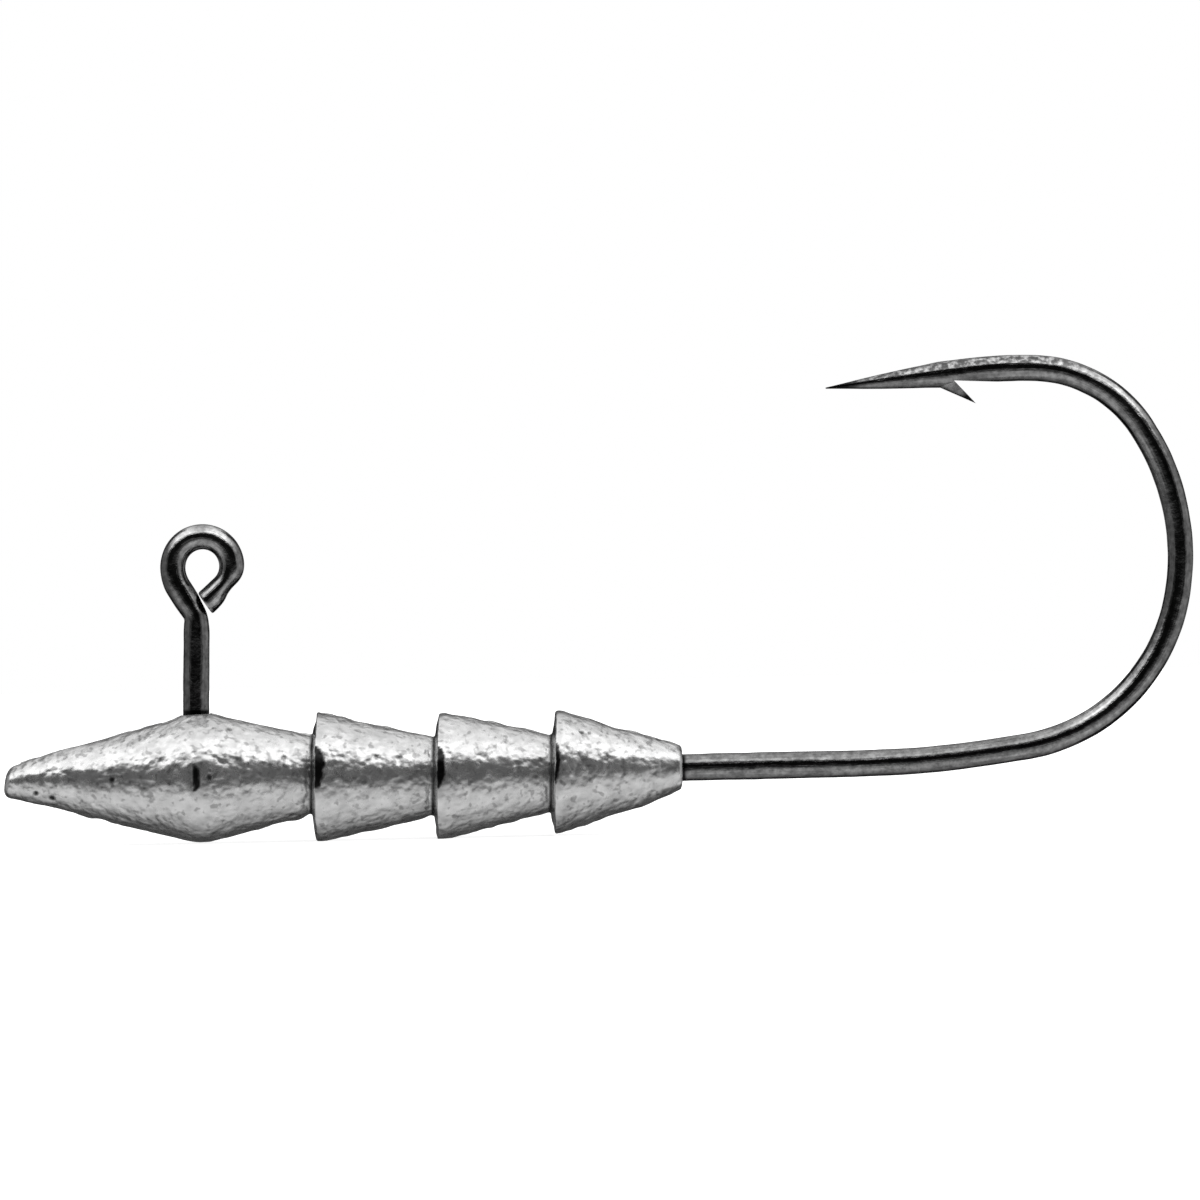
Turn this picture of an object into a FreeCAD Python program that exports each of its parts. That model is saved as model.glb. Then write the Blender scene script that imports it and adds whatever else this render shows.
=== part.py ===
"""Jig head: a two-cone lead head with barbed bait-keeper collars, cast round a right-angle eyed hook.

The origin is the centre of the line eye. +X runs along the body from the nose to the hook's bend,
+Z points up from the body to the eye and the hook point, and the hook lies in the plane Y = 0.
"""

import FreeCAD, Part

import math
import os

import Sketcher

SIZES = {
    "hook": {
        "wire_dia": (1.25, "hook wire diameter"),
        "ring_radius": (1.4, "line eye, to the wire's centre line"),
        "eye_side_radius": (1.8, "wider curve where the eye runs into the neck"),
        "eye_side_turn": (46, "turn of that curve, degrees"),
        "eye_end_slope": (42, "slope of the eye's cut end, degrees below level"),
        "eye_end_run": (1.02, "straight length of the eye's cut end"),
        "neck_lean": (31, "lean of the neck under the eye, degrees from upright"),
        "neck_radius": (1.0, "bend between neck and leg"),
        "leg_lean": (1.6, "lean of the leg towards the hook bend, degrees from upright"),
        "leg_top": (-0.34, "leg centre line at its upper end, along the body"),
        "axis_drop": (10.15, "eye centre down to the axis of shank and body"),
        "knee_radius": (1.8, "right-angle bend inside the lead"),
        "bend_start": (29.69, "where the straight shank ends, along the body"),
        "bend_radius_a": (69.9, "hook bend, first arc"),
        "bend_angle_a": (7.7, "degrees"),
        "bend_radius_b": (8.76, "hook bend, second arc"),
        "bend_angle_b": (70.0, "degrees"),
        "bend_radius_c": (11.15, "hook bend, third arc"),
        "bend_angle_c": (44.7, "degrees"),
        "bend_radius_d": (6.28, "hook bend, fourth arc"),
        "bend_angle_d": (54.3, "degrees"),
        "bend_radius_e": (19.7, "hook bend, fifth arc, into the arm"),
        "bend_angle_e": (8.7, "degrees"),
        "arm_run": (1.67, "straight arm, up to the ground point"),
        "point_length": (5.47, "ground cone of the point"),
        "point_dia": (0.08, "blunt end of the point"),
    },
    "barb": {
        "barb_root": (1.8, "front of the barb, along the arm from the bend's end"),
        "barb_tip_along": (0.17, "tip of the barb, along the arm from the bend's end"),
        "barb_tip_off": (1.56, "tip of the barb, off the arm's centre line"),
        "barb_width": (1.0, "width of the barb's blade"),
        "barb_taper": (22, "lean of the blade's sides, degrees"),
        "barb_seat": (0.5, "front of the barb, off the arm's centre line"),
        "cut_apex": (1.06, "deepest place of the cut, along the arm from the bend's end"),
        "cut_off": (0.32, "deepest place of the cut, off the arm's centre line"),
        "cut_start": (-1.14, "shallow end of the cut, along the arm from the bend's end"),
        "cut_start_off": (0.66, "shallow end of the cut, off the arm's centre line"),
        "cut_clear": (1.2, "outer reach of the cutting blade, off the arm's centre line"),
    },
    "lead": {
        "nose_start": (-9.72, "front end of the nose, along the body"),
        "nose_radius": (0.69, "radius of the nose's blunt end"),
        "nose_fillet": (0.55, "rounding of the nose's end"),
        "crest_at": (-0.3, "crest of the nose, along the body"),
        "crest_radius": (3.15, "sharp crest radius, before rounding"),
        "crest_fillet": (2.8, "rounding of the crest"),
        "neck_a": (5.0, "front face of the first collar at its neck"),
        "neck_b": (10.8, "front face of the second collar at its neck"),
        "neck_c": (16.4, "front face of the third collar at its neck"),
        "neck_radius_a": (1.89, "neck radius in front of the first collar"),
        "neck_radius_b": (1.86, "neck radius in front of the second collar"),
        "neck_radius_c": (1.83, "neck radius in front of the third collar"),
        "rim_radius_a": (3.07, "rim radius of the first collar"),
        "rim_radius_b": (3.07, "rim radius of the second collar"),
        "rim_radius_c": (2.93, "rim radius of the third collar"),
        "face_rake": (0.22, "how far each rim stands behind its neck"),
        "rim_fillet": (0.12, "rounding of the rims"),
        "tail_end": (22.7, "rear end of the tail, along the body"),
        "tail_radius": (1.03, "radius of the tail's end"),
        "tail_fillet": (0.2, "rounding of the tail's end"),
    },
}
BEND_ARCS = "abcde"
COLLARS = "abc"
VOLUME_TOLERANCE = 0.01  # share by which a swept or lofted volume may miss its formula
SAME_PLACE = 1e-6  # millimetres within which two places are the same


def make_sheet(doc):
    """Write the driving dimensions to the sheet, one row each: name, value, meaning."""
    sheet = doc.addObject("Spreadsheet::Sheet", "Sizes")
    row = 1
    for group in SIZES.values():
        for name, (value, meaning) in group.items():
            sheet.set(f"A{row}", name)
            sheet.set(f"B{row}", str(value))
            sheet.set(f"C{row}", meaning)
            sheet.setAlias(f"B{row}", name)
            row += 1
    doc.recompute()
    return sheet


def heading(degrees):
    """Unit vector in the sketch plane at an angle from its first axis."""
    return FreeCAD.Vector(math.cos(math.radians(degrees)), math.sin(math.radians(degrees)), 0)


def new_sketch(body, name, support, mode):
    """Make a sketch in the body, attached to the support in the given way."""
    sketch = body.newObject("Sketcher::SketchObject", name)
    sketch.AttachmentSupport = support
    sketch.MapMode = mode
    return sketch


def origin_plane(body, role):
    """One of the body's own origin planes, by its role."""
    return next(feature for feature in body.Origin.OriginFeatures if feature.Role == role)


def bind(sketch, kind, where, value, expression):
    """Add a dimension to the sketch and bind it to the sheet."""
    index = sketch.addConstraint(Sketcher.Constraint(kind, *where, value))
    sketch.setExpression(f"Constraints[{index}]", expression)


class TangentChain:
    """A sketched path of lines and arcs, each tangent to the one before it."""

    def __init__(self, sketch, start, direction):
        self.sketch = sketch
        self.at = start
        self.direction = direction
        self.last = None
        self.length = 0.0

    def link(self, edge, first, last):
        """Tie an edge's first end to the last end of the edge before it."""
        if self.last is not None:
            self.sketch.addConstraint(Sketcher.Constraint("Tangent", *self.last, edge, first))
        self.last = (edge, last)

    def line(self, length):
        end = self.at + heading(self.direction) * length
        edge = self.sketch.addGeometry(Part.LineSegment(self.at, end))
        self.link(edge, 1, 2)
        self.at = end
        self.length += length
        return edge

    def arc(self, radius, angle):
        """An arc that turns by the angle, left where it is positive."""
        side = 1 if angle > 0 else -1
        centre = self.at + heading(self.direction + 90 * side) * radius
        from_angle = self.direction - 90 * side
        low, high = sorted((from_angle, from_angle + angle))
        circle = Part.Circle(centre, FreeCAD.Vector(0, 0, 1), radius)
        edge = self.sketch.addGeometry(Part.ArcOfCircle(circle, math.radians(low), math.radians(high)))
        self.link(edge, *((1, 2) if side > 0 else (2, 1)))
        self.direction += angle
        self.at = centre + heading(from_angle + angle) * radius
        self.length += radius * math.radians(abs(angle))
        return edge


def hook_path(body, size):
    """The hook's centre line: eye, neck, leg, knee, shank, bend and arm."""
    sketch = new_sketch(body, "HookPath", [(origin_plane(body, "XZ_Plane"), "")], "FlatFace")
    ring_start = size.eye_end_slope - 90
    ring_turn = 270 + size.neck_lean - size.eye_end_slope - size.eye_side_turn
    ring_foot = heading(ring_start) * size.ring_radius
    start = ring_foot - heading(size.eye_end_slope) * size.eye_end_run
    chain = TangentChain(sketch, start, size.eye_end_slope)
    eye_end = chain.line(size.eye_end_run)
    ring = chain.arc(size.ring_radius, ring_turn)
    eye_side = chain.arc(size.eye_side_radius, size.eye_side_turn)

    neck_turn = size.neck_lean + size.leg_lean
    tangent = size.neck_radius * math.tan(math.radians(neck_turn / 2))
    leg_direction = heading(270 - size.leg_lean)
    neck_direction = heading(chain.direction)
    to_corner = size.leg_top - leg_direction.x * tangent - chain.at.x
    neck = chain.line(to_corner / neck_direction.x - tangent)
    neck_bend = chain.arc(size.neck_radius, -neck_turn)

    knee_turn = 90 + size.leg_lean
    knee_tangent = size.knee_radius * math.tan(math.radians(knee_turn / 2))
    leg = chain.line((chain.at.y + size.axis_drop) / -leg_direction.y - knee_tangent)
    knee = chain.arc(size.knee_radius, knee_turn)
    shank = chain.line(size.bend_start - chain.at.x)
    arcs = []
    for letter in BEND_ARCS:
        radius = getattr(size, f"bend_radius_{letter}")
        arcs.append(chain.arc(radius, getattr(size, f"bend_angle_{letter}")))
    arm = chain.line(size.arm_run)

    sketch.addConstraint(Sketcher.Constraint("Coincident", ring, 3, -1, 1))
    sketch.addConstraint(Sketcher.Constraint("Horizontal", shank))
    bind(sketch, "Radius", (ring,), size.ring_radius, "Sizes.ring_radius")
    bind(sketch, "Radius", (eye_side,), size.eye_side_radius, "Sizes.eye_side_radius")
    side_turn = math.radians(size.eye_side_turn)
    bind(sketch, "Angle", (eye_side,), side_turn, "Sizes.eye_side_turn * 1 deg")
    bind(sketch, "Angle", (eye_end,), math.radians(size.eye_end_slope), "Sizes.eye_end_slope * 1 deg")
    bind(sketch, "Distance", (eye_end,), size.eye_end_run, "Sizes.eye_end_run")
    bind(sketch, "Angle", (neck,), math.radians(size.neck_lean - 90), "(Sizes.neck_lean - 90) * 1 deg")
    bind(sketch, "Radius", (neck_bend,), size.neck_radius, "Sizes.neck_radius")
    bind(sketch, "Angle", (leg,), math.radians(-90 - size.leg_lean), "(-90 - Sizes.leg_lean) * 1 deg")
    bind(sketch, "DistanceX", (-1, 1, leg, 1), size.leg_top, "Sizes.leg_top")
    bind(sketch, "Radius", (knee,), size.knee_radius, "Sizes.knee_radius")
    bind(sketch, "DistanceY", (shank, 2, -1, 1), size.axis_drop, "Sizes.axis_drop")
    bind(sketch, "DistanceX", (-1, 1, shank, 2), size.bend_start, "Sizes.bend_start")
    for letter, arc in zip(BEND_ARCS, arcs):
        radius = getattr(size, f"bend_radius_{letter}")
        angle = math.radians(getattr(size, f"bend_angle_{letter}"))
        bind(sketch, "Radius", (arc,), radius, f"Sizes.bend_radius_{letter}")
        bind(sketch, "Angle", (arc,), angle, f"Sizes.bend_angle_{letter} * 1 deg")
    bind(sketch, "Distance", (arm,), size.arm_run, "Sizes.arm_run")
    return sketch, f"Edge{arcs[-1] + 1}", f"Edge{arm + 1}", chain.length


def round_section(body, name, path, edge, at_end, dia, dia_expression):
    """A circle across one edge of the path, at that edge's start or end."""
    sketch = new_sketch(body, name, [(path, edge)], "NormalToEdge")
    sketch.MapPathParameter = 1.0 if at_end else 0.0
    centre = FreeCAD.Vector(0, 0, 0)
    circle = sketch.addGeometry(Part.Circle(centre, FreeCAD.Vector(0, 0, 1), dia / 2))
    sketch.addConstraint(Sketcher.Constraint("Coincident", circle, 3, -1, 1))
    bind(sketch, "Diameter", (circle,), dia, dia_expression)
    return sketch


def total(size, names):
    """The sum of named sizes, as a number and as the expression that drives it."""
    return sum(getattr(size, name) for name in names), " + ".join(f"Sizes.{name}" for name in names) or "0"


def outline(sketch, size, corners):
    """A closed outline whose corners each stand at sums of named sizes; no name is the axis itself."""
    places = [(total(size, along), total(size, off)) for along, off in corners]
    count = len(places)
    for index in range(count):
        ends = [places[index], places[(index + 1) % count]]
        points = [FreeCAD.Vector(along[0], off[0], 0) for along, off in ends]
        sketch.addGeometry(Part.LineSegment(*points))
    for index in range(count):
        sketch.addConstraint(Sketcher.Constraint("Coincident", index, 2, (index + 1) % count, 1))
        for kind, (value, expression) in zip(("DistanceX", "DistanceY"), places[index]):
            if value == 0 and kind == "DistanceY":
                sketch.addConstraint(Sketcher.Constraint("PointOnObject", index, 1, -1))
            else:
                bind(sketch, kind, (-1, 1, index, 1), value, expression)


def make_hook(doc, size):
    """One length of wire from the eye to the point, with a barb cut up from its inner side."""
    body = doc.addObject("PartDesign::Body", "hook")
    path, last_arc, arm, length = hook_path(body, size)
    wire_section = round_section(body, "WireSection", path, "Edge1", False, size.wire_dia, "Sizes.wire_dia")
    wire = body.newObject("PartDesign::AdditivePipe", "Wire")
    wire.Profile = (wire_section, [""])
    wire.Spine = path
    doc.recompute()
    expected = math.pi / 4 * size.wire_dia**2 * length
    check_volume("hook wire", wire.Shape.Volume, expected)

    base = round_section(body, "PointBase", path, arm, True, size.wire_dia, "Sizes.wire_dia")
    tip = round_section(body, "PointTip", path, arm, True, size.point_dia, "Sizes.point_dia")
    tip.setExpression("AttachmentOffset.Base.z", "-Sizes.point_length")
    point = body.newObject("PartDesign::AdditiveLoft", "Point")
    point.Profile = (base, [""])
    point.Sections = [(tip, [""])]
    point.Ruled = True
    doc.recompute()
    radii = (size.wire_dia / 2, size.point_dia / 2)
    cone = math.pi / 3 * size.point_length * (radii[0] ** 2 + radii[0] * radii[1] + radii[1] ** 2)
    check_volume("point", point.Shape.Volume - wire.Shape.Volume, cone)

    cut_sketch = new_sketch(body, "BarbCut", [(path, last_arc)], "FrenetTN")
    cut_sketch.MapPathParameter = 1.0
    outline(cut_sketch, size, [
        (("cut_apex",), ("cut_off",)),
        (("cut_start",), ("cut_start_off",)),
        (("cut_start",), ("cut_clear",)),
        (("cut_apex",), ("cut_clear",)),
    ])
    before = point.Shape.Volume
    cut = body.newObject("PartDesign::Pocket", "Cut")
    cut.Profile = (cut_sketch, [""])
    cut.SideType = "Symmetric"
    cut.setExpression("Length", "2 * Sizes.wire_dia")
    doc.recompute()
    check_less("barb cut", cut.Shape.Volume, before)

    blade_sketch = new_sketch(body, "BarbBlade", [(path, last_arc)], "FrenetTN")
    blade_sketch.MapPathParameter = 1.0
    outline(blade_sketch, size, [
        (("barb_root",), ("barb_seat",)),
        (("cut_apex",), ("cut_off",)),
        (("barb_tip_along",), ("barb_tip_off",)),
    ])
    blade = body.newObject("PartDesign::Pad", "Barb")
    blade.Profile = (blade_sketch, [""])
    blade.SideType = "Symmetric"
    blade.setExpression("Length", "Sizes.barb_width")
    blade.setExpression("TaperAngle", "-Sizes.barb_taper * 1 deg")
    doc.recompute()
    check_less("barb blade", cut.Shape.Volume, blade.Shape.Volume)
    body.Tip = blade
    return body


def edges_at(shape, along):
    """Names of the round edges whose centre stands at one place along the body."""
    names = []
    for number, edge in enumerate(shape.Edges, 1):
        if isinstance(edge.Curve, Part.Circle) and abs(edge.Curve.Center.x - along) < SAME_PLACE:
            names.append(f"Edge{number}")
    return names


def make_casting(doc, size):
    """The lead's outer shape: a two-cone nose, three collars and the tail, turned about the axis."""
    body = doc.addObject("PartDesign::Body", "casting")
    profile = new_sketch(body, "Profile", [(origin_plane(body, "XZ_Plane"), "")], "FlatFace")
    profile.setExpression("AttachmentOffset.Base.y", "-Sizes.axis_drop")
    corners = [(("nose_start",), ()), (("nose_start",), ("nose_radius",)), (("crest_at",), ("crest_radius",))]
    for letter in COLLARS:
        corners.append(((f"neck_{letter}",), (f"neck_radius_{letter}",)))
        corners.append(((f"neck_{letter}", "face_rake"), (f"rim_radius_{letter}",)))
    corners += [(("tail_end",), ("tail_radius",)), (("tail_end",), ())]
    outline(profile, size, corners)
    turned = body.newObject("PartDesign::Revolution", "Turned")
    turned.Profile = (profile, [""])
    turned.ReferenceAxis = (profile, ["H_Axis"])
    turned.Angle = 360
    doc.recompute()

    rims = [total(size, (f"neck_{letter}", "face_rake"))[0] for letter in COLLARS]
    feature = turned
    for name, places in (
        ("nose_fillet", [size.nose_start]),
        ("crest_fillet", [size.crest_at]),
        ("rim_fillet", rims),
        ("tail_fillet", [size.tail_end]),
    ):
        edges = [edge for place in places for edge in edges_at(feature.Shape, place)]
        fillet = body.newObject("PartDesign::Fillet", name.title().replace("_", ""))
        fillet.Base = (feature, edges)
        fillet.setExpression("Radius", f"Sizes.{name}")
        doc.recompute()
        check_less(name, fillet.Shape.Volume, feature.Shape.Volume)
        feature = fillet
    body.Tip = feature
    return body


def make_lead_head(doc, size, hook):
    """The casting with the hook's own shape left free inside it, as lead poured round the wire has."""
    casting = make_casting(doc, size)
    head = doc.addObject("Part::Cut", "lead_head")
    head.Base = casting
    head.Tool = hook
    doc.recompute()
    return head


def check_volume(name, found, expected):
    if abs(found - expected) > VOLUME_TOLERANCE * expected:
        raise RuntimeError(f"{name}: volume {found:.3f} mm3, expected {expected:.3f} mm3")


def check_less(name, smaller, larger):
    if not 0 < smaller < larger:
        raise RuntimeError(f"{name}: {smaller:.4f} mm3 isn't less than {larger:.4f} mm3")


def check_document(doc, parts):
    """Stop if any feature failed, or if a piece isn't one valid solid."""
    for item in doc.Objects:
        if {"Invalid", "Error"} & set(item.State):
            raise RuntimeError(f"{item.Label}: {item.State}")
        if item.isDerivedFrom("Sketcher::SketchObject") and not item.FullyConstrained:
            raise RuntimeError(f"{item.Label}: not fully constrained")
    for part in parts:
        shape = part.Shape
        if shape.isNull() or not shape.isValid() or len(shape.Solids) != 1:
            raise RuntimeError(f"{part.Label}: not one valid solid")


def main():
    doc = FreeCAD.newDocument("jig_head")
    size = make_sheet(doc)
    hook = make_hook(doc, size)
    head = make_lead_head(doc, size, hook)
    parts = [hook, head]
    check_document(doc, parts)
    os.makedirs("parts", exist_ok=True)
    for part in parts:
        part.Shape.exportStep(f"parts/{part.Label}.step")
        box = part.Shape.optimalBoundingBox()
        print(f"{part.Label}: {part.Shape.Volume:.2f} mm3, x {box.XMin:.2f} to {box.XMax:.2f},"
              f" y {box.YMin:.2f} to {box.YMax:.2f}, z {box.ZMin:.2f} to {box.ZMax:.2f}")


main()
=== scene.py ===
import math

import bmesh
import bpy
import numpy as np
from mathutils import Matrix, Vector, noise


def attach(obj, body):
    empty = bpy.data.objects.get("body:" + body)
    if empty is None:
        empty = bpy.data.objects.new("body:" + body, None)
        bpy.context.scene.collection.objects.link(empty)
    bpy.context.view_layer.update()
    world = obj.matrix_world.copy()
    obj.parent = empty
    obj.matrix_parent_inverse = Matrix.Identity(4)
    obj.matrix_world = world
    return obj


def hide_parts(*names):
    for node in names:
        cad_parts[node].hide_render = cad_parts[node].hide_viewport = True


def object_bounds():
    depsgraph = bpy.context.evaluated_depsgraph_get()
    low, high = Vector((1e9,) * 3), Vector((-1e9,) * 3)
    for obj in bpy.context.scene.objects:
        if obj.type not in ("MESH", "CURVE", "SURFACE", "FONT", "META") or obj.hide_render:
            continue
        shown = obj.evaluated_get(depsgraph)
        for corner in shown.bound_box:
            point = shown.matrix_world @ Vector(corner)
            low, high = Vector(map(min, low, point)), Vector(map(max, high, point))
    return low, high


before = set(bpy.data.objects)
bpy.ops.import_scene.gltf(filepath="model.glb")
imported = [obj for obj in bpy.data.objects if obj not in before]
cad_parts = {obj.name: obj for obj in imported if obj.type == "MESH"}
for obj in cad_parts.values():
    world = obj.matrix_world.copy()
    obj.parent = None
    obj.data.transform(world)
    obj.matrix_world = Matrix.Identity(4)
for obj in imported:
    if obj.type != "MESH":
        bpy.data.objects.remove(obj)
cad_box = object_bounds()

MM = 0.001  # lengths below are in millimetres, and become metres where a mesh or a node is made

# --- sizes: the hook's wire, in the plane Y = 0, with the eye about the origin --------------------

WIRE_RADIUS = 0.625
EYE_WIRE_RADIUS = 0.6
RING_RADIUS = 1.4
EYE_CENTRE = -0.05
EYE_SIDE_RADIUS = 1.8
EYE_SIDE_TURN = 46
EYE_END_SLOPE = 42
EYE_END_RUN = 1.02
NECK_LEAN = 31
NECK_RADIUS = 1.0
LEG_LEAN = 1.6
LEG_TOP = -0.39
LEG_FOOT = -0.52
AXIS_DROP = 10.15
KNEE_RADIUS = 1.8
BEND_START = 29.69
BEND_ARCS = [(69.9, 7.7), (8.76, 70.0), (11.15, 44.7), (6.28, 54.3), (19.7, 8.7)]
ARM_RUN = 1.67
POINT_LENGTH = 5.47
POINT_RADIUS = 0.03
WIRE_STEP = 0.07
WIRE_SIDES = 56

# What tools and bending did to the wire: from which mark, how far along, half length, and depth
# on the inside and the outside of the curve. They nipped it behind the eye's cut end and under
# the neck; the shank is a little thick, sags as it goes into the bend, and is thin at its far side.
TOOLED = [
    ("end", 1.2, 0.5, 0.0, 0.24), ("leg", -0.4, 0.55, 0.07, 0.05), ("bend", -4.0, 6.0, -0.02, -0.02),
    ("bend", 5.2, 3.0, 0.05, -0.06), ("bend", 21.0, 5.0, 0.02, 0.02),
]

# Painted highlights, where the plating is made brighter to stand in for bright reflections: from which
# mark, how far along, half length, on the inside (1) or the outside (-1) of the curve, and how many
# times brighter.
PAINTED_HIGHLIGHTS = [
    ("neck", -2.6, 0.75, -1, 1.7), ("neck", -3.95, 0.75, -1, 1.7),
    ("arm", -7.2, 3.6, -1, 2.1), ("bend", 13.8, 2.6, 1, 1.9),
]

# How many times brighter the plating is painted round the eye: a painted highlight.
EYE_HIGHLIGHT_GAIN = 1.35

# --- sizes: the barb, from the end of the bend: (towards the point, towards the inside) ------------

BARB_ROOT = (1.8, 0.56)
BARB_TIP = (0.09, 1.56)
CUT_APEX = (1.06, 0.32)
CUT_START = (-1.14, 0.66)
CUT_CLEAR = 1.2
BARB_HALF_WIDTH = 0.46

# --- sizes: the lead head, turned about the shank's axis -------------------------------------------

NOSE_START = -9.72
NOSE_RADIUS = 0.69
CREST_AT = -0.3
CREST_RADIUS = 3.15
CREST_FILLET = 2.8
NECKS = [(5.0, 1.89), (10.8, 1.86), (16.4, 1.83)]
RIMS = [3.06, 3.05, 2.92]
FACE_RAKE = 0.2
LAND = 0.28
TAIL_END = 22.66
TAIL_RADIUS = 1.06
LEAD_STEP = 0.09
LEAD_SIDES = 184
PIT_COUNT = 150  # blow holes, placed at random
PIT_RUN = (-9.2, 22.2)  # from and to where along the casting they are
LEAD_METALLIC = 0.76  # the rest is the dull oxide on it


def unit(degrees):
    return np.array([math.cos(math.radians(degrees)), math.sin(math.radians(degrees))])


def smooth(low, high, value):
    """Smooth step from 0 at low to 1 at high."""
    part = np.clip((value - low) / (high - low), 0, 1)
    return part * part * (3 - 2 * part)


def bell(value, middle, width):
    return np.exp(-((value - middle) / width) ** 2)


def noise_at(points, scale, seed, octaves=2):
    """Smooth noise, about -1 to 1, at points in millimetres; scale is its size in millimetres."""
    shift = Vector((seed * 17.3, seed * 5.1, seed * 9.7))
    return np.array([
        noise.fractal(Vector(point) / scale + shift, 0.9, 2.1, octaves) for point in points
    ])


# --- meshes ---------------------------------------------------------------------------------------

def mesh_object(name, vertices, faces):
    """A closed object from vertices in millimetres, its faces turned outwards for the booleans."""
    mesh = bpy.data.meshes.new(name)
    mesh.from_pydata((np.asarray(vertices) * MM).tolist(), [], faces)
    skin = bmesh.new()
    skin.from_mesh(mesh)
    bmesh.ops.recalc_face_normals(skin, faces=skin.faces)
    skin.to_mesh(mesh)
    skin.free()
    piece = bpy.data.objects.new(name, mesh)
    bpy.context.scene.collection.objects.link(piece)
    return piece


def rings_object(name, rings, first, last):
    """An object skinned over rings of points, closed by a fan to a point at each end."""
    count, sides = rings.shape[:2]
    faces = []
    for ring in range(count - 1):
        for side in range(sides):
            beside = (side + 1) % sides
            faces.append((ring * sides + side, ring * sides + beside,
                          (ring + 1) * sides + beside, (ring + 1) * sides + side))
    front, back = count * sides, count * sides + 1
    for side in range(sides):
        beside = (side + 1) % sides
        faces.append((beside, side, front))
        faces.append(((count - 1) * sides + side, (count - 1) * sides + beside, back))
    vertices = np.vstack([rings.reshape(-1, 3), [first, last]])
    return mesh_object(name, vertices, faces)


def combine(piece, tool, operation):
    """Applies a boolean of the tool to the piece, and removes the tool."""
    modifier = piece.modifiers.new(operation, "BOOLEAN")
    modifier.operation = operation
    modifier.solver = "EXACT"
    modifier.object = tool
    graph = bpy.context.evaluated_depsgraph_get()
    mesh = bpy.data.meshes.new_from_object(piece.evaluated_get(graph))
    piece.modifiers.clear()
    piece.data = mesh
    bpy.data.objects.remove(tool)


def shade(piece, sharp_angle):
    mesh = piece.data
    mesh.polygons.foreach_set("use_smooth", [True] * len(mesh.polygons))
    mesh.set_sharp_from_angle(angle=math.radians(sharp_angle))


def store(piece, name, values, ends=(0, 0)):
    """Keeps a value for every vertex, the last two at the ends, for the materials to read."""
    attribute = piece.data.attributes.new(name, "FLOAT", "POINT")
    attribute.data.foreach_set("value", np.append(np.ravel(values), ends).astype(np.float32))


# --- hook -----------------------------------------------------------------------------------------

class Trace:
    """Samples a path of tangent lines and arcs: points, directions and lengths along it."""

    def __init__(self, start, direction, step):
        self.points = [np.array(start, float)]
        self.directions = [direction]
        self.marks = [0.0]
        self.step = step

    @property
    def end(self):
        return self.points[-1], self.directions[-1]

    def line(self, length):
        start, direction = self.end
        self.sample(length, lambda part: (start + unit(direction) * length * part, direction))

    def arc(self, radius, turn):
        start, direction = self.end
        side = math.copysign(1, turn)
        centre = start + unit(direction + 90 * side) * radius

        def place(part):
            heading = direction + turn * part
            return centre + unit(heading - 90 * side) * radius, heading

        self.sample(radius * math.radians(abs(turn)), place)

    def sample(self, length, place):
        mark = self.marks[-1]
        count = max(2, math.ceil(length / self.step))
        for index in range(1, count + 1):
            point, direction = place(index / count)
            self.points.append(point)
            self.directions.append(direction)
            self.marks.append(mark + length * index / count)


def trace_hook(step):
    """The hook's centre line from the eye's cut end to the tip, and the marks where its parts
    begin."""
    foot = np.array([EYE_CENTRE, 0.0]) + unit(EYE_END_SLOPE - 90) * RING_RADIUS
    trace = Trace(foot - unit(EYE_END_SLOPE) * EYE_END_RUN, EYE_END_SLOPE, step)
    trace.line(EYE_END_RUN)
    trace.arc(RING_RADIUS, 270 + NECK_LEAN - EYE_END_SLOPE - EYE_SIDE_TURN)
    trace.arc(EYE_SIDE_RADIUS, EYE_SIDE_TURN)
    marks = {"end": 0.0, "neck": trace.marks[-1]}

    neck_turn = NECK_LEAN + LEG_LEAN
    tangent = NECK_RADIUS * math.tan(math.radians(neck_turn / 2))
    at, direction = trace.end
    down_leg = unit(270 - LEG_LEAN)
    trace.line((LEG_TOP - down_leg[0] * tangent - at[0]) / unit(direction)[0] - tangent)
    trace.arc(NECK_RADIUS, -neck_turn)
    marks["leg"] = trace.marks[-1]

    knee_turn = 90 + LEG_LEAN
    knee_tangent = KNEE_RADIUS * math.tan(math.radians(knee_turn / 2))
    trace.line((trace.end[0][1] + AXIS_DROP) / -down_leg[1] - knee_tangent)
    trace.arc(KNEE_RADIUS, knee_turn)
    marks["shank"] = trace.marks[-1]
    trace.line(BEND_START - trace.end[0][0])
    marks["bend"] = trace.marks[-1]
    for radius, turn in BEND_ARCS:
        trace.arc(radius, turn)
    marks["arm"] = trace.marks[-1]
    marks["arm_place"] = trace.end
    trace.line(ARM_RUN)
    marks["point"] = trace.marks[-1]
    trace.line(POINT_LENGTH)
    marks["tip"] = trace.marks[-1]
    return trace, marks


def wire_radius(mark, marks, total):
    """The wire's radius along its length: drawn down round the eye, and ground to a point."""
    eye = 1 - smooth(marks["neck"] - 1.0, marks["neck"], mark)
    radius = WIRE_RADIUS - (WIRE_RADIUS - EYE_WIRE_RADIUS) * eye
    into_point = np.clip((mark - marks["point"]) / (total - marks["point"]), 0, 1)
    taper = 1 - into_point * (1 - POINT_RADIUS / WIRE_RADIUS)
    return radius * (taper + 0.05 * np.sin(np.pi * into_point) ** 2)


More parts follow.
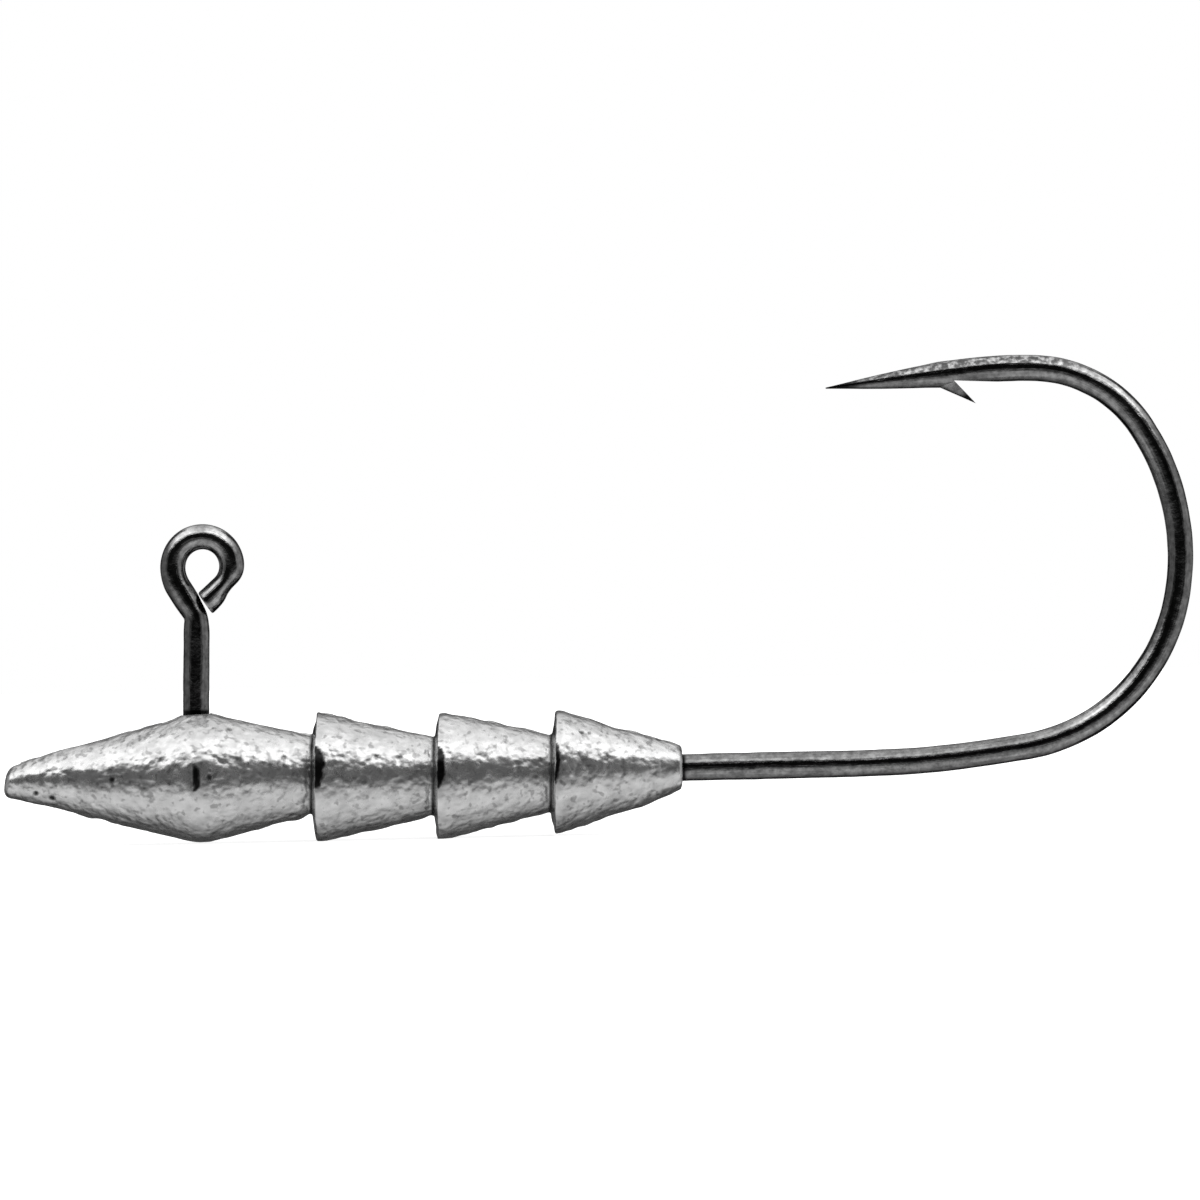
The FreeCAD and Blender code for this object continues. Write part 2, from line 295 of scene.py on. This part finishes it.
def make_rings(trace, radius, sides):
    """Rings of points round the trace; angle 0 is the left of the way along, which is the inside
    of the eye and of the bend."""
    around = np.linspace(0, 2 * np.pi, sides, endpoint=False)
    heading = np.radians(trace.directions)
    inward = np.stack([-np.sin(heading), np.zeros_like(heading), np.cos(heading)], 1)
    across = np.array([0.0, 1.0, 0.0])
    points = np.array(trace.points)
    middle = np.stack([points[:, 0], np.zeros_like(heading), points[:, 1]], 1)
    spoke = inward[:, None] * np.cos(around)[None, :, None] + across * np.sin(around)[None, :, None]
    return middle, spoke, middle[:, None] + spoke * radius[:, :, None], around


def make_hook():
    trace, marks = trace_hook(WIRE_STEP)
    mark = np.array(trace.marks)
    radius = wire_radius(mark, marks, mark[-1])[:, None] * np.ones(WIRE_SIDES)
    middle, spoke, rings, around = make_rings(trace, radius, WIRE_SIDES)

    waver = noise_at(rings.reshape(-1, 3), 1.3, 4).reshape(radius.shape)
    inside, outside = np.clip(np.cos(around), 0, 1), np.clip(-np.cos(around), 0, 1)
    lift = 0.014 * waver * radius / WIRE_RADIUS - 0.04 * (1 - smooth(0, 0.08, mark))[:, None]
    for start, at, length, depth_in, depth_out in TOOLED:
        reach = bell(mark, marks[start] + at, length)[:, None]
        lift -= reach * (depth_in * inside + depth_out * outside)
    rings = rings + spoke * lift[:, :, None]

    # The cut end is askew, longest on the outside.
    back = -unit(EYE_END_SLOPE)
    askew = (0.105 - 0.08 * np.cos(around)) * (1 - smooth(0, 0.7, mark))[:, None]
    rings = rings + np.array([back[0], 0, back[1]]) * askew[:, :, None]

    wire = rings_object("hook_wire", rings, middle[0], middle[-1])
    store(wire, "along", mark[:, None] * np.ones(WIRE_SIDES), (mark[0], mark[-1]))
    store(wire, "inward", np.cos(around) * np.ones_like(radius))
    store(wire, "aside", np.sin(around) * np.ones_like(radius))

    origin, heading = marks["arm_place"]

    def place(point, across):
        """Where a barb point (towards the point, towards the inside) stands, across from Y = 0."""
        spot = origin + unit(heading) * point[0] + unit(heading + 90) * point[1]
        return np.array([spot[0], across, spot[1]])

    marks["barb"] = place(BARB_TIP, 0)
    combine(wire, make_cut(place), "DIFFERENCE")
    combine(wire, make_blade(place), "UNION")
    shade(wire, 38)
    return wire, marks


def make_cut(place):
    corners = [CUT_APEX, CUT_START, (CUT_START[0], CUT_CLEAR), (CUT_APEX[0], CUT_CLEAR)]
    vertices = [place(corner, side * 2 * WIRE_RADIUS) for side in (-1, 1) for corner in corners]
    faces = [(3, 2, 1, 0), (4, 5, 6, 7)]
    for index in range(4):
        beside = (index + 1) % 4
        faces.append((index, beside, beside + 4, index + 4))
    return mesh_object("cut", vertices, faces)


def make_blade(place):
    """The barb: a sliver of the wire's skin, round outside and flat inside, rising to a point."""
    root, tip, apex = np.array(BARB_ROOT), np.array(BARB_TIP), np.array(CUT_APEX)
    arc = np.linspace(0, np.pi, 17)
    rings = []
    for part in np.concatenate([[-0.35], np.linspace(0, 0.985, 18)]):
        inner = apex + (tip - apex) * part
        outer = root + (tip - root) * part
        width = BARB_HALF_WIDTH * max(1 - part, 0) ** 0.8 if part > 0 else BARB_HALF_WIDTH
        ring = [place(inner + (outer - inner) * math.sin(a), width * math.cos(a)) for a in arc]
        ring += [place(inner, width * share) for share in (-0.6, 0.0, 0.6)]
        rings.append(ring)
    rings = np.array(rings)
    return rings_object("blade", rings[:, ::-1], rings[0].mean(0), place(tip, 0))


# --- lead -----------------------------------------------------------------------------------------

def rounded_profile(corners, step):
    """Points (x, r) along straights between corners, each corner rounded by its own radius."""
    points = [np.array(corners[0][0], float)]

    def run_to(target):
        length = np.linalg.norm(target - points[-1])
        start = points[-1]
        count = max(1, round(length / step))
        points.extend(start + (target - start) * index / count for index in range(1, count + 1))

    for (before, _), (corner, radius), (after, _) in zip(corners, corners[1:], corners[2:]):
        corner = np.array(corner, float)
        back = np.array(before) - corner
        ahead = np.array(after) - corner
        back, ahead = back / np.linalg.norm(back), ahead / np.linalg.norm(ahead)
        half = math.acos(np.clip(back @ ahead, -1, 1)) / 2
        reach = radius / math.tan(half)
        middle = (back + ahead) / np.linalg.norm(back + ahead)
        centre = corner + middle * radius / math.sin(half)
        start = corner + back * reach - centre
        end = corner + ahead * reach - centre
        turn = math.atan2(start[0] * end[1] - start[1] * end[0], start @ end)
        run_to(centre + start)
        count = max(4, round(radius * abs(turn) / step))
        for index in range(1, count + 1):
            swing = turn * index / count
            cosine, sine = math.cos(swing), math.sin(swing)
            points.append(centre + np.array([
                start[0] * cosine - start[1] * sine, start[0] * sine + start[1] * cosine,
            ]))
    run_to(np.array(corners[-1][0], float))
    return np.array(points)


def lead_profile():
    corners = [((NOSE_START, 0.0), 0), ((NOSE_START, NOSE_RADIUS), 0.5)]
    corners.append(((CREST_AT, CREST_RADIUS), CREST_FILLET))
    for (at, neck), rim in zip(NECKS, RIMS):
        corners.append(((at, neck), 0.14))
        corners.append(((at + FACE_RAKE, rim), 0.1))
        corners.append(((at + FACE_RAKE + LAND, rim), 0.8))
    corners += [((TAIL_END, TAIL_RADIUS), 0.22), ((TAIL_END, 0.0), 0)]
    return rounded_profile(corners, LEAD_STEP)


# The casting's centre line wanders a little from the shank's axis: (x, height above it).
CENTRE_LINE = [
    (-9.7, 0.0), (-7.5, 0.06), (-5.0, 0.03), (4.9, 0.03), (5.4, -0.09), (10.6, -0.13),
    (11.1, -0.2), (12.6, -0.11), (16.3, -0.12), (16.8, -0.08), (18.6, -0.03), (22.7, -0.02),
]

# Painted shade: dark bands behind the rims and on the crest that stand in for the dark reflection there:
# (x, width, from and to degrees above the front).
PAINTED_SHADE_BANDS = [
    (5.2, 0.5, -9, 31), (11.0, 0.42, -9, 31), (16.6, 0.26, -10, 30), (-0.55, 0.4, -11, 14),
]

# Shallow dents: (x, degrees above the front, radius, depth), the depth below zero for a swelling.
DENTS = [
    (19.55, 88, 0.75, 0.09), (20.6, -86, 0.9, -0.1), (5.0, -88, 0.4, 0.12), (10.85, -88, 0.3, 0.06),
    (11.3, 88, 0.7, 0.04), (-7.0, 85, 1.2, -0.06), (2.75, -85, 1.2, 0.05), (22.6, -80, 0.5, 0.12),
    (22.6, 75, 0.4, 0.05), (16.0, 88, 0.5, 0.04), (22.7, -5, 0.45, -0.06),
]


def on_lead(profile, at, degrees):
    """The point of the bare lead surface at x, so many degrees above the front."""
    radius = np.interp(at, profile[:, 0], profile[:, 1])
    angle = math.radians(degrees)
    return np.array([at, -radius * math.cos(angle), radius * math.sin(angle)])


def make_lead(marks):
    profile = lead_profile()
    along, radius = profile[1:-1, 0], profile[1:-1, 1]
    slope = profile[2:] - profile[:-2]
    normal = np.stack([-slope[:, 1], slope[:, 0]], 1)
    normal /= np.linalg.norm(normal, axis=1)[:, None]
    around = np.linspace(0, 2 * np.pi, LEAD_SIDES, endpoint=False)
    radial = np.stack([np.zeros_like(around), -np.cos(around), np.sin(around)], 1)
    axis = np.array([1.0, 0.0, 0.0])
    base = axis * along[:, None, None] + radial[None] * radius[:, None, None]
    outward = axis * normal[:, 0, None, None] + radial[None] * normal[:, 1, None, None]
    points, outward = base.reshape(-1, 3), outward.reshape(-1, 3)
    x, y, z = points.T

    lift = 0.018 * noise_at(points, 2.2, 1) + 0.018 * noise_at(points, 0.7, 2)
    lift += 0.009 * noise_at(points, 0.34, 3)
    pit_dark_and_painted_shade = np.zeros(len(points))

    source = np.random.default_rng(7)
    holes = []
    for _ in range(PIT_COUNT):
        at = source.uniform(*PIT_RUN)
        size = 0.08 + 0.12 * source.random() ** 2
        spot = on_lead(profile, at, source.uniform(0, 360))
        holes.append(spot.tolist() + [size, size * source.uniform(0.2, 0.55)])
    # The blow holes are darker towards their middle.
    for hole in holes:
        distance = np.linalg.norm(points - hole[:3], axis=1)
        inside = 1 - smooth(0.45 * hole[3], 1.25 * hole[3], distance)
        lift -= 0.5 * hole[4] * inside
        pit_dark_and_painted_shade = np.maximum(pit_dark_and_painted_shade, inside * min(1, hole[4] / 0.09))
    for at, angle, size, depth in DENTS:
        distance = np.linalg.norm(points - on_lead(profile, at, angle), axis=1)
        lift -= depth * bell(distance, 0, size)

    # The mould's halves meet at Y = 0 in a faint broken ridge, and lead creeps up round the leg.
    seam = bell(y, 0, 0.07) * np.clip(noise_at(points * [1, 0, 1], 0.9, 5) + 0.25, 0, 1)
    lift += 0.07 * seam * (radius.repeat(LEAD_SIDES) > 0.9)
    from_leg = np.hypot(x - LEG_FOOT, y)
    creep = bell(np.clip(from_leg - WIRE_RADIUS, 0, None), 0, 0.4) * (z > 2)
    lift += creep * (0.05 - 0.04 * np.clip(x - LEG_FOOT, -1, 1))

    # Painted shade on the collars' front faces, in the recess at each neck.
    for at, _ in NECKS:
        face = smooth(at - 0.22, at - 0.04, x) * (1 - smooth(at + 0.14, at + 0.22, x))
        pit_dark_and_painted_shade = np.maximum(pit_dark_and_painted_shade, 0.9 * face)
    ragged = 0.12 * noise_at(points, 0.35, 6)
    height = np.degrees(np.arctan2(z, -y))
    # Painted shade: black bands behind the rims and on the crest, on the side facing the front.
    for start, width, low, high in PAINTED_SHADE_BANDS:
        off_middle = (height - (low + high) / 2) / ((high - low) / 2)
        reach = start + width * np.sqrt(np.clip(1 - off_middle ** 2, 0, 1))
        painted_band = smooth(start - 0.05, start + 0.03, x + 0.4 * ragged) * (np.abs(off_middle) < 1)
        pit_dark_and_painted_shade = np.maximum(pit_dark_and_painted_shade, painted_band * (1 - smooth(reach - 0.1, reach + 0.06, x + ragged)))
    skin = points + outward * lift[:, None]
    faces = sum(
        smooth(at - 0.6, at - 0.1, x) * (1 - smooth(at + 0.6, at + 2.5, x)) for at, _ in NECKS
    )
    nose = 1 - smooth(-9.7, -8.8, x)
    skin[:, 0] += z * (0.03 * faces + 0.15 * nose)
    skin[:, 2] += np.interp(x, *np.array(CENTRE_LINE).T) - AXIS_DROP
    rings = skin.reshape(len(along), LEAD_SIDES, 3)
    casting = rings_object("lead_casting", rings, rings[0].mean(0), rings[-1].mean(0))

    lands = sum(bell(x, at + FACE_RAKE + 0.5 * LAND, 0.2) for at, _ in NECKS)
    worn = np.clip(lands + 0.8 * bell(x, CREST_AT + 0.1, 0.25), 0, 1) * (radius.repeat(LEAD_SIDES) > 2.5)
    store(casting, "pit_dark_and_painted_shade", pit_dark_and_painted_shade)
    store(casting, "worn", worn)

    combine(casting, make_core(marks), "DIFFERENCE")
    shade(casting, 60)
    return casting


def make_core(marks):
    """The wire's place in the lead, a little wide, and wider still where the leg comes out."""
    trace, _ = trace_hook(0.25)
    mark = np.array(trace.marks)
    points = np.array(trace.points)
    keep = (mark > marks["leg"] + 2.0) & (mark < marks["shank"] + 26)
    trace.points = list(points[keep])
    trace.directions = list(np.array(trace.directions)[keep])
    out_of_leg = smooth(-7.5, -7.0, points[keep][:, 1])
    radius = (WIRE_RADIUS + 0.015 + 0.05 * out_of_leg)[:, None] * np.ones(32)
    middle, _, rings, _ = make_rings(trace, radius, 32)
    return rings_object("core", rings, middle[0], middle[-1])


# --- materials ------------------------------------------------------------------------------------

class Nodes:
    """A short way to add nodes to a tree and link them."""

    def __init__(self, tree):
        self.tree = tree
        tree.nodes.clear()

    def add(self, kind, inputs=(), **settings):
        node = self.tree.nodes.new(kind)
        for name, value in settings.items():
            setattr(node, name, value)
        for socket, value in dict(inputs).items():
            if isinstance(value, bpy.types.NodeSocket):
                self.tree.links.new(value, node.inputs[socket])
            else:
                node.inputs[socket].default_value = value
        return node

    def math(self, operation, first, second=0.0):
        return self.add("ShaderNodeMath", {0: first, 1: second}, operation=operation).outputs[0]

    def mapped(self, value, low, high, to_low, to_high, interpolation="LINEAR"):
        return self.add("ShaderNodeMapRange", {
            "Value": value, "From Min": low, "From Max": high, "To Min": to_low, "To Max": to_high,
        }, interpolation_type=interpolation).outputs["Result"]

    def blend(self, factor, first, second):
        """A number between two others."""
        return self.add("ShaderNodeMix", {0: factor, 2: first, 3: second}).outputs[0]

    def product(self, steps):
        """The product of smooth steps, each a value and where it is 0 and 1."""
        result = 1.0
        for value, low, high in steps:
            step = self.mapped(value, low, high, 0.0, 1.0, "SMOOTHSTEP")
            result = self.math("MULTIPLY", step, result)
        return result

    def ramp(self, factor, stops):
        node = self.add("ShaderNodeValToRGB", {"Fac": factor})
        elements = node.color_ramp.elements
        while len(elements) < len(stops):
            elements.new(0.5)
        for element, (place, level) in zip(elements, stops):
            element.position = place
            element.color = (level, level, level, 1)
        return node.outputs["Color"]

    def noise(self, place, scale, detail=2.0, roughness=0.5):
        return self.add("ShaderNodeTexNoise", {
            "Vector": place, "Scale": scale, "Detail": detail, "Roughness": roughness,
        }).outputs["Fac"]

    def value_of(self, name):
        return self.add("ShaderNodeAttribute", attribute_name=name).outputs["Fac"]

    def millimetres(self):
        place = self.add("ShaderNodeTexCoord").outputs["Object"]
        return self.add("ShaderNodeVectorMath", {0: place, 3: 1 / MM}, operation="SCALE").outputs[0]


def new_material(name):
    material = bpy.data.materials.new(name)
    material.use_nodes = True
    return material, Nodes(material.node_tree)


def finish_metal(nodes, level, roughness, bump, metallic=1.0):
    colour = nodes.add("ShaderNodeCombineColor", {0: level, 1: level, 2: level}).outputs[0]
    shader = nodes.add("ShaderNodeBsdfPrincipled", {
        "Base Color": colour, "Roughness": roughness, "Metallic": metallic, "Normal": bump,
    })
    nodes.add("ShaderNodeOutputMaterial", {"Surface": shader.outputs[0]})


def lead_material():
    material, nodes = new_material("cast_lead")
    place = nodes.millimetres()
    pit_dark_and_painted_shade, worn = nodes.value_of("pit_dark_and_painted_shade"), nodes.value_of("worn")
    patches = nodes.noise(place, 0.9, 4.0, 0.6)
    crystals = nodes.noise(place, 2.0, 1.0, 0.5)
    grain = nodes.noise(place, 4.6, 1.0, 0.5)
    specks = nodes.noise(place, 3.1, 1.0)

    blotches = nodes.noise(place, 1.9, 1.0)
    level = nodes.mapped(patches, 0.3, 0.7, 0.7, 0.82)
    level = nodes.math("MULTIPLY", level, nodes.mapped(blotches, 0.3, 0.7, 0.88, 1.1))
    level = nodes.math("MULTIPLY", level, nodes.mapped(specks, 0.3, 0.42, 0.6, 1.0))
    # Darker in the blow holes, and painted shade on the collars' front faces and in the bands behind the
    # rims and on the crest.
    level = nodes.math("MULTIPLY", level, nodes.mapped(pit_dark_and_painted_shade, 0.2, 1.0, 1.0, 0.03))

    roughness = nodes.mapped(crystals, 0.3, 0.7, 0.2, 0.29)
    roughness = nodes.blend(worn, roughness, 0.14)
    strength = nodes.blend(worn, 1.0, 0.3)
    height = nodes.math("ADD", crystals, nodes.math("MULTIPLY", grain, 0.15))
    bump = nodes.add("ShaderNodeBump", {
        "Height": height, "Strength": strength, "Distance": 0.08 * MM,
    }).outputs[0]
    finish_metal(nodes, level, roughness, bump, LEAD_METALLIC)
    return material


def hook_material(marks):
    material, nodes = new_material("black_nickel")
    place = nodes.millimetres()
    along, inward = nodes.value_of("along"), nodes.value_of("inward")
    drawn = nodes.add("ShaderNodeCombineXYZ", {
        0: nodes.math("MULTIPLY", along, 0.35),
        1: nodes.math("MULTIPLY", inward, 5.0),
        2: nodes.math("MULTIPLY", nodes.value_of("aside"), 5.0),
    }).outputs[0]
    lines = nodes.noise(drawn, 1.0, 3.0, 0.6)
    haze = nodes.noise(place, 2.5, 4.0, 0.6)
    pitted = nodes.noise(place, 3.2, 2.0, 0.6)

    # The plating is rubbed rough on the outside of the bend, from its top to the point, and there it
    # also gets a painted speckled highlight that brightens it.
    rubbed_and_sheen = nodes.mapped(along, marks["arm"] - 5.5, marks["arm"] - 3.5, 0.0, 1.0, "SMOOTHSTEP")
    rubbed_and_sheen = nodes.math("MULTIPLY", rubbed_and_sheen, nodes.mapped(inward, -0.2, -0.5, 0.0, 1.0))
    level = nodes.mapped(lines, 0.3, 0.7, 0.19, 0.31)
    level = nodes.math("MULTIPLY", level, nodes.mapped(pitted, 0.3, 0.7, 0.62, 1.38))
    # Painted highlight: speckled brightening of the rubbed plating, weaker towards the point.
    bright = nodes.mapped(pitted, 0.42, 0.6, 0.7, 2.1)
    dulled = nodes.mapped(along, marks["arm"], marks["tip"] - 1.5, 1.0, 0.6)
    bright = nodes.math("MULTIPLY", bright, dulled)
    level = nodes.math("MULTIPLY", level, nodes.blend(rubbed_and_sheen, 1.0, bright))
    # Painted highlight: the plating round the eye made brighter.
    eye = nodes.mapped(along, marks["neck"] - 2.0, marks["neck"], EYE_HIGHLIGHT_GAIN, 1.0)
    level = nodes.math("MULTIPLY", level, eye)
    # Painted highlights: the plating made brighter at each listed place along the wire.
    for start, at, length, side, gain in PAINTED_HIGHLIGHTS:
        from_middle = nodes.math("ABSOLUTE", nodes.math("SUBTRACT", along, marks[start] + at))
        painted_highlight = nodes.product([(from_middle, length, 0.0), (inward, -0.3 * side, 0.3 * side)])
        level = nodes.math("MULTIPLY", level, nodes.blend(painted_highlight, 1.0, gain))

    # Painted shade: black where it enters the lead, standing in for the shadow in the joint; and painted
    # dark reflection, black at the tips of the point and the barb.
    x, _, z = nodes.add("ShaderNodeSeparateXYZ", {0: place}).outputs
    # Painted shade at the leg's foot and at the tail, where the wire goes into the lead.
    foot = nodes.math("MULTIPLY", nodes.mapped(z, -6.93, -6.8, 1.0, 0.0),
                      nodes.math("LESS_THAN", x, 5.0))
    tail = nodes.math("MULTIPLY", nodes.mapped(x, 22.75, 22.9, 1.0, 0.0),
                      nodes.math("LESS_THAN", z, -9.0))
    # Painted dark reflection: black towards the tips of the point and the barb.
    tip = nodes.mapped(along, marks["tip"] - 2.4, marks["tip"] - 1.0, 0.0, 1.0)
    from_barb = nodes.add("ShaderNodeVectorMath", {0: place, 1: marks["barb"]},
                          operation="DISTANCE").outputs["Value"]
    barb = nodes.mapped(from_barb, 0.62, 0.95, 1.0, 0.0)
    for painted_dark in (foot, tail, tip, barb):
        level = nodes.math("MULTIPLY", level, nodes.mapped(painted_dark, 0.0, 1.0, 1.0, 0.06))
    # Painted dark reflection: the wire also darker round the barb.
    level = nodes.math("MULTIPLY", level, nodes.mapped(from_barb, 1.3, 1.7, 0.6, 1.0))

    roughness = nodes.mapped(haze, 0.3, 0.7, 0.06, 0.13)
    roughness = nodes.blend(rubbed_and_sheen, roughness, 0.24)
    height = nodes.math("ADD", haze, nodes.math("MULTIPLY", lines, 0.5))
    height = nodes.math("ADD", height, nodes.math("MULTIPLY", rubbed_and_sheen, pitted))
    bump = nodes.add("ShaderNodeBump", {
        "Height": height, "Strength": 1.0, "Distance": 0.022 * MM,
    }).outputs[0]
    finish_metal(nodes, level, roughness, bump)
    return material


# --- studio ---------------------------------------------------------------------------------------

# What a polished wire lying along X reflects: degrees up from the camera's side (-Y), over the top
# at 90 to the far side at 180, and below the object the other way round; and how bright it is.
SURROUND = [
    (-180, 0.14), (-150, 0.02), (-128, 0.05), (-112, 0.24), (-97, 0.43), (-74, 0.68), (-53, 0.84),
    (-35, 0.66), (-23, 0.4), (-11, 0.12), (0, 0.01), (28, 0.008), (33, 0.06), (38, 0.4), (43, 1.0),
    (48, 1.5), (54, 1.65), (62, 1.4), (80, 1.05), (100, 0.95), (126, 0.85), (142, 0.4), (158, 0.06),
    (180, 0.02),
]
PEAK = max(level for _, level in SURROUND)
# To the sides: from and to which share of sideways, and how bright there, right and left.
RIGHT = (0.62, 0.97, 0.45)
LEFT = (0.7, 0.96, 0.24)
# Overhead are two lamps, right and left: how much brighter than what is between them.
LAMPS = 0.25
# Behind the object to both sides it is dark: this share of the light of the tent's middle.
BEHIND = 0.08


def make_world():
    """White behind the object, and for its reflections a light tent open towards the camera."""
    world = bpy.data.worlds.new("studio")
    world.use_nodes = True
    bpy.context.scene.world = world
    nodes = Nodes(world.node_tree)
    around = nodes.add("ShaderNodeTexCoord").outputs["Generated"]
    x, y, z = nodes.add("ShaderNodeSeparateXYZ", {0: around}).outputs
    angle = nodes.math("ARCTAN2", z, nodes.math("MULTIPLY", y, -1.0))
    place = nodes.mapped(angle, -math.pi, math.pi, 0.0, 1.0)
    stops = [((degrees + 180) / 360, level / PEAK) for degrees, level in SURROUND]
    ring = nodes.math("MULTIPLY", nodes.ramp(place, stops), PEAK)
    aside = nodes.math("ABSOLUTE", x)
    lamps = nodes.product([
        (aside, 0.12, 0.4), (aside, 0.85, 0.68), (place, 0.61, 0.66), (place, 0.83, 0.76),
    ])
    behind = nodes.product([
        (y, 0.1, 0.4), (aside, 0.3, 0.5), (nodes.math("ABSOLUTE", z), 0.2, 0.5),
    ])
    tent = nodes.math("MULTIPLY", ring, nodes.blend(lamps, 1.0, 1.0 + LAMPS))
    tent = nodes.math("MULTIPLY", tent, nodes.blend(behind, 1.0, BEHIND))
    tent = nodes.blend(nodes.mapped(x, *RIGHT[:2], 0.0, 1.0, "SMOOTHSTEP"), tent, RIGHT[2])
    leftward = nodes.math("MULTIPLY", x, -1.0)
    tent = nodes.blend(nodes.mapped(leftward, *LEFT[:2], 0.0, 1.0, "SMOOTHSTEP"), tent, LEFT[2])
    tent = nodes.add("ShaderNodeBackground", {"Color": tent})
    white = nodes.add("ShaderNodeBackground", {"Color": (1, 1, 1, 1)})
    seen = nodes.add("ShaderNodeLightPath").outputs["Is Camera Ray"]
    mix = nodes.add("ShaderNodeMixShader", {0: seen, 1: tent.outputs[0], 2: white.outputs[0]})
    nodes.add("ShaderNodeOutputWorld", {"Surface": mix.outputs[0]})


FLOOR_REACH = 0.6  # metres from the middle to each side
FLOOR_GAP = 0.05  # millimetres under the CAD box


def make_floor():
    """A white table under the lowest point, bright enough that only a faint shadow shows on it."""
    low, high = cad_box
    mesh = bpy.data.meshes.new("floor")
    grid = bmesh.new()
    bmesh.ops.create_grid(grid, x_segments=8, y_segments=8, size=FLOOR_REACH)
    grid.to_mesh(mesh)
    grid.free()
    floor = bpy.data.objects.new("floor", mesh)
    floor.location = ((low.x + high.x) / 2, 0, low.z - FLOOR_GAP * MM)
    bpy.context.scene.collection.objects.link(floor)
    material, nodes = new_material("floor_white")
    shader = nodes.add("ShaderNodeBsdfPrincipled", {
        "Base Color": (0.8, 0.8, 0.8, 1),
        "Roughness": 1.0,
        "Specular IOR Level": 0.0,
        "Emission Color": (1, 1, 1, 1),
        "Emission Strength": 0.8,
    })
    nodes.add("ShaderNodeOutputMaterial", {"Surface": shader.outputs[0]})
    mesh.materials.append(material)
    floor.visible_glossy = False
    floor.visible_diffuse = False


# The picture's width and centre at the object, how far the object leans in it, and how far away
# the camera stands.
FRAME_WIDTH = 57.36
FRAME_CENTRE = (18.91, -2.055)
ROLL = 1.3
DISTANCE = 320.0


def make_camera():
    camera = bpy.data.cameras.new("camera")
    camera.lens = camera.sensor_width * DISTANCE / FRAME_WIDTH
    camera.clip_start = 0.01
    camera.clip_end = 10.0
    holder = bpy.data.objects.new("camera", camera)
    bpy.context.scene.collection.objects.link(holder)
    roll = math.radians(ROLL)
    right = Vector((math.cos(roll), 0, -math.sin(roll)))
    up = Vector((math.sin(roll), 0, math.cos(roll)))
    turn = Matrix((right, up, Vector((0, -1, 0)))).transposed().to_4x4()
    place = Vector((FRAME_CENTRE[0], -DISTANCE, FRAME_CENTRE[1])) * MM
    holder.matrix_world = Matrix.Translation(place) @ turn
    bpy.context.scene.camera = holder


def dress(piece, material, node):
    piece.data.materials.clear()
    piece.data.materials.append(material)
    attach(piece, "root")
    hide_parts(node)


make_camera()
make_world()
make_floor()
hook, hook_marks = make_hook()
dress(hook, hook_material(hook_marks), "hook")
dress(make_lead(hook_marks), lead_material(), "lead_head")
bpy.context.scene.view_settings.view_transform = "Standard"
